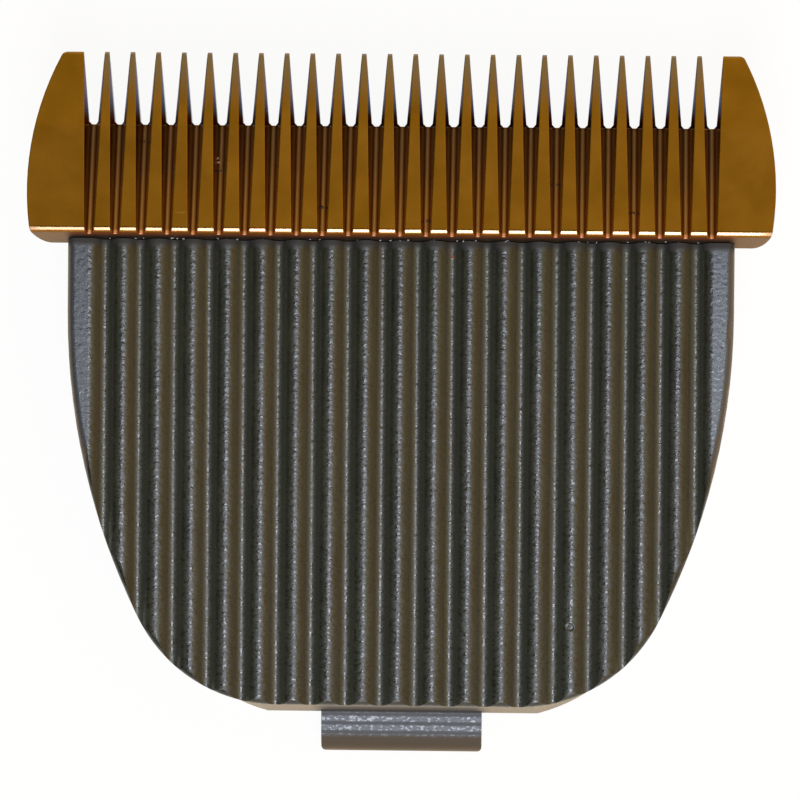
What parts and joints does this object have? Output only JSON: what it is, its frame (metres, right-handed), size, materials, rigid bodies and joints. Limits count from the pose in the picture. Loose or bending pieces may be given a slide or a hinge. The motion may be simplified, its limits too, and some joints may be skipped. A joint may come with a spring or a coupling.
{
  "type": "hair clipper blade set",
  "caption": "Clip-on clipper blade set: coated steel comb with fluted teeth on a shield-shaped reeded plastic carrier, with a sprung sliding cutter behind the comb.",
  "frame": {"origin": "on the plane of the carrier's back rim, under the middle of the set's box", "axes": "+X along the row of teeth, +Y towards the tooth tips, +Z out of the reeded face"},
  "size_m": [0.0456, 0.0438, 0.0128],
  "materials": {
    "coated_steel": "gold-brown hard coating on ground steel",
    "carrier_plastic": "dark grey fine-textured moulding",
    "cutter_steel": "ground steel",
    "driver_plastic": "black moulding",
    "spring_wire": "drawn spring wire",
    "screw_steel": "plated steel"
  },
  "bodies": {
    "carrier": {"blade_carrier": "carrier_plastic", "comb_blade": "coated_steel", "tension_spring": "spring_wire", "comb_screws": "screw_steel"},
    "cutter": {"cutter_blade": "cutter_steel", "cutter_driver": "driver_plastic"}
  },
  "joints": [
    {"name": "cutter_slide", "type": "slide", "parent": "carrier", "child": "cutter", "axis": [1, 0, 0], "range_m": [-0.0012, 0.0012]}
  ]
}
